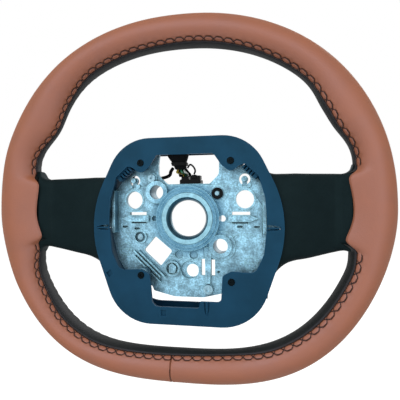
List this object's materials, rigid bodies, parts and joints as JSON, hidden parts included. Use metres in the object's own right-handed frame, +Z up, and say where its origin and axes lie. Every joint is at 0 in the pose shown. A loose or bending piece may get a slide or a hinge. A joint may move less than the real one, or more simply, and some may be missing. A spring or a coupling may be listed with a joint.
{
  "type": "car steering wheel",
  "caption": "Two-spoke car steering wheel with a squared leather rim, thumb rests, sewn seams, a cast hub and a moulded shroud, shown without its airbag.",
  "frame": {"origin": "middle of the column bore, at the hub's rear face", "axes": "+X to the driver's right, +Y away from the driver along the column axis, +Z up"},
  "size_m": [0.3596, 0.075, 0.3276],
  "materials": {
    "cast_hub": "die-cast, fine orange-peel skin",
    "bush_steel": "turned",
    "foam_skin": "fine-grained moulded skin",
    "brown_leather": "smooth nappa, semi-matt",
    "black_leather": "smooth nappa, semi-matt",
    "shroud_plastic": "satin moulded plastic",
    "screw_steel": "blackened",
    "ring_rubber": "matt",
    "fitting_steel": "zinc plated",
    "loom_tape": "cloth tape",
    "tie_plastic": "moulded",
    "connector_plastic": "moulded",
    "yellow_wire": "insulation",
    "green_wire": "insulation",
    "white_wire": "insulation",
    "black_wire": "insulation"
  },
  "bodies": {
    "root": {"armature": "cast_hub", "hub_bush": "bush_steel", "foam_body": "foam_skin", "outer_leather": "brown_leather", "inner_leather_upper": "black_leather", "inner_leather_lower": "black_leather", "hub_shroud": "shroud_plastic", "shroud_screws": "screw_steel", "rubber_ring": "ring_rubber", "contact_pin": "fitting_steel", "earth_stud": "fitting_steel", "locating_pin": "fitting_steel", "earth_screw": "fitting_steel", "harness_sleeve": "loom_tape", "harness_tie": "tie_plastic", "connector_housing": "connector_plastic", "connector_plug": "connector_plastic", "wire_yellow": "yellow_wire", "wire_green": "green_wire", "wire_white": "white_wire", "wire_loop": "black_wire", "harness_branch": "loom_tape"}
  },
  "joints": []
}
